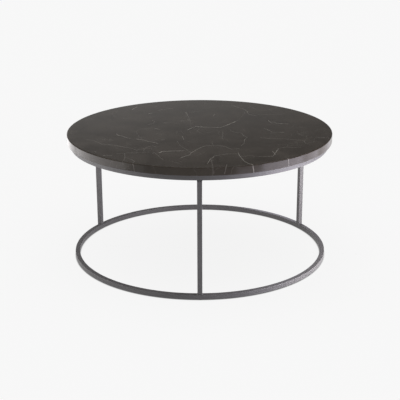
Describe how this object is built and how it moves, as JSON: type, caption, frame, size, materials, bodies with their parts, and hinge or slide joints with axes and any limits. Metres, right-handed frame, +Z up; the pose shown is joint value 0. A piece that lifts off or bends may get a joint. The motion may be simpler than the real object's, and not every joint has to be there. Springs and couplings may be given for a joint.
{
  "type": "round cocktail table",
  "caption": "Low round cocktail table: dark veined polished stone disc on an open welded frame of slim square steel bar, with a ring under the stone, a ring on the floor and legs between.",
  "frame": {"origin": "on the floor, under the middle of the top", "axes": "+Z up, front leg towards -Y, +X to the right seen from the front"},
  "size_m": [0.9143, 0.9144, 0.4445],
  "materials": {
    "veined_stone": "polished dark brown-black marble with thin pale veins",
    "frame_steel": "aged gunmetal, satin, brushed lengthwise",
    "plywood": "dark stained plywood",
    "insert_brass": "machined",
    "zinc_steel": "zinc plated",
    "clear_rubber": "cloudy clear",
    "black_nylon": "moulded"
  },
  "bodies": {
    "root": {"stone_top": "veined_stone", "backer_board": "plywood", "threaded_inserts": "insert_brass", "tab_screws": "zinc_steel", "flat_washers": "zinc_steel", "spring_washers": "zinc_steel", "upper_ring": "frame_steel", "lower_ring": "frame_steel", "front_leg": "frame_steel", "rear_right_leg": "frame_steel", "rear_left_leg": "frame_steel", "front_leg_welds": "frame_steel", "rear_right_leg_welds": "frame_steel", "rear_left_leg_welds": "frame_steel", "tab_welds": "frame_steel", "mounting_tab_1": "frame_steel", "mounting_tab_2": "frame_steel", "mounting_tab_3": "frame_steel", "mounting_tab_4": "frame_steel", "mounting_tab_5": "frame_steel", "mounting_tab_6": "frame_steel", "stone_bumper_1": "clear_rubber", "stone_bumper_2": "clear_rubber", "stone_bumper_3": "clear_rubber", "stone_bumper_4": "clear_rubber", "stone_bumper_5": "clear_rubber", "stone_bumper_6": "clear_rubber", "stone_bumper_7": "clear_rubber", "stone_bumper_8": "clear_rubber", "stone_bumper_9": "clear_rubber", "stone_bumper_10": "clear_rubber", "stone_bumper_11": "clear_rubber", "stone_bumper_12": "clear_rubber", "floor_glide_1": "black_nylon", "floor_glide_2": "black_nylon", "floor_glide_3": "black_nylon", "floor_glide_4": "black_nylon", "floor_glide_5": "black_nylon", "floor_glide_6": "black_nylon"}
  },
  "joints": []
}
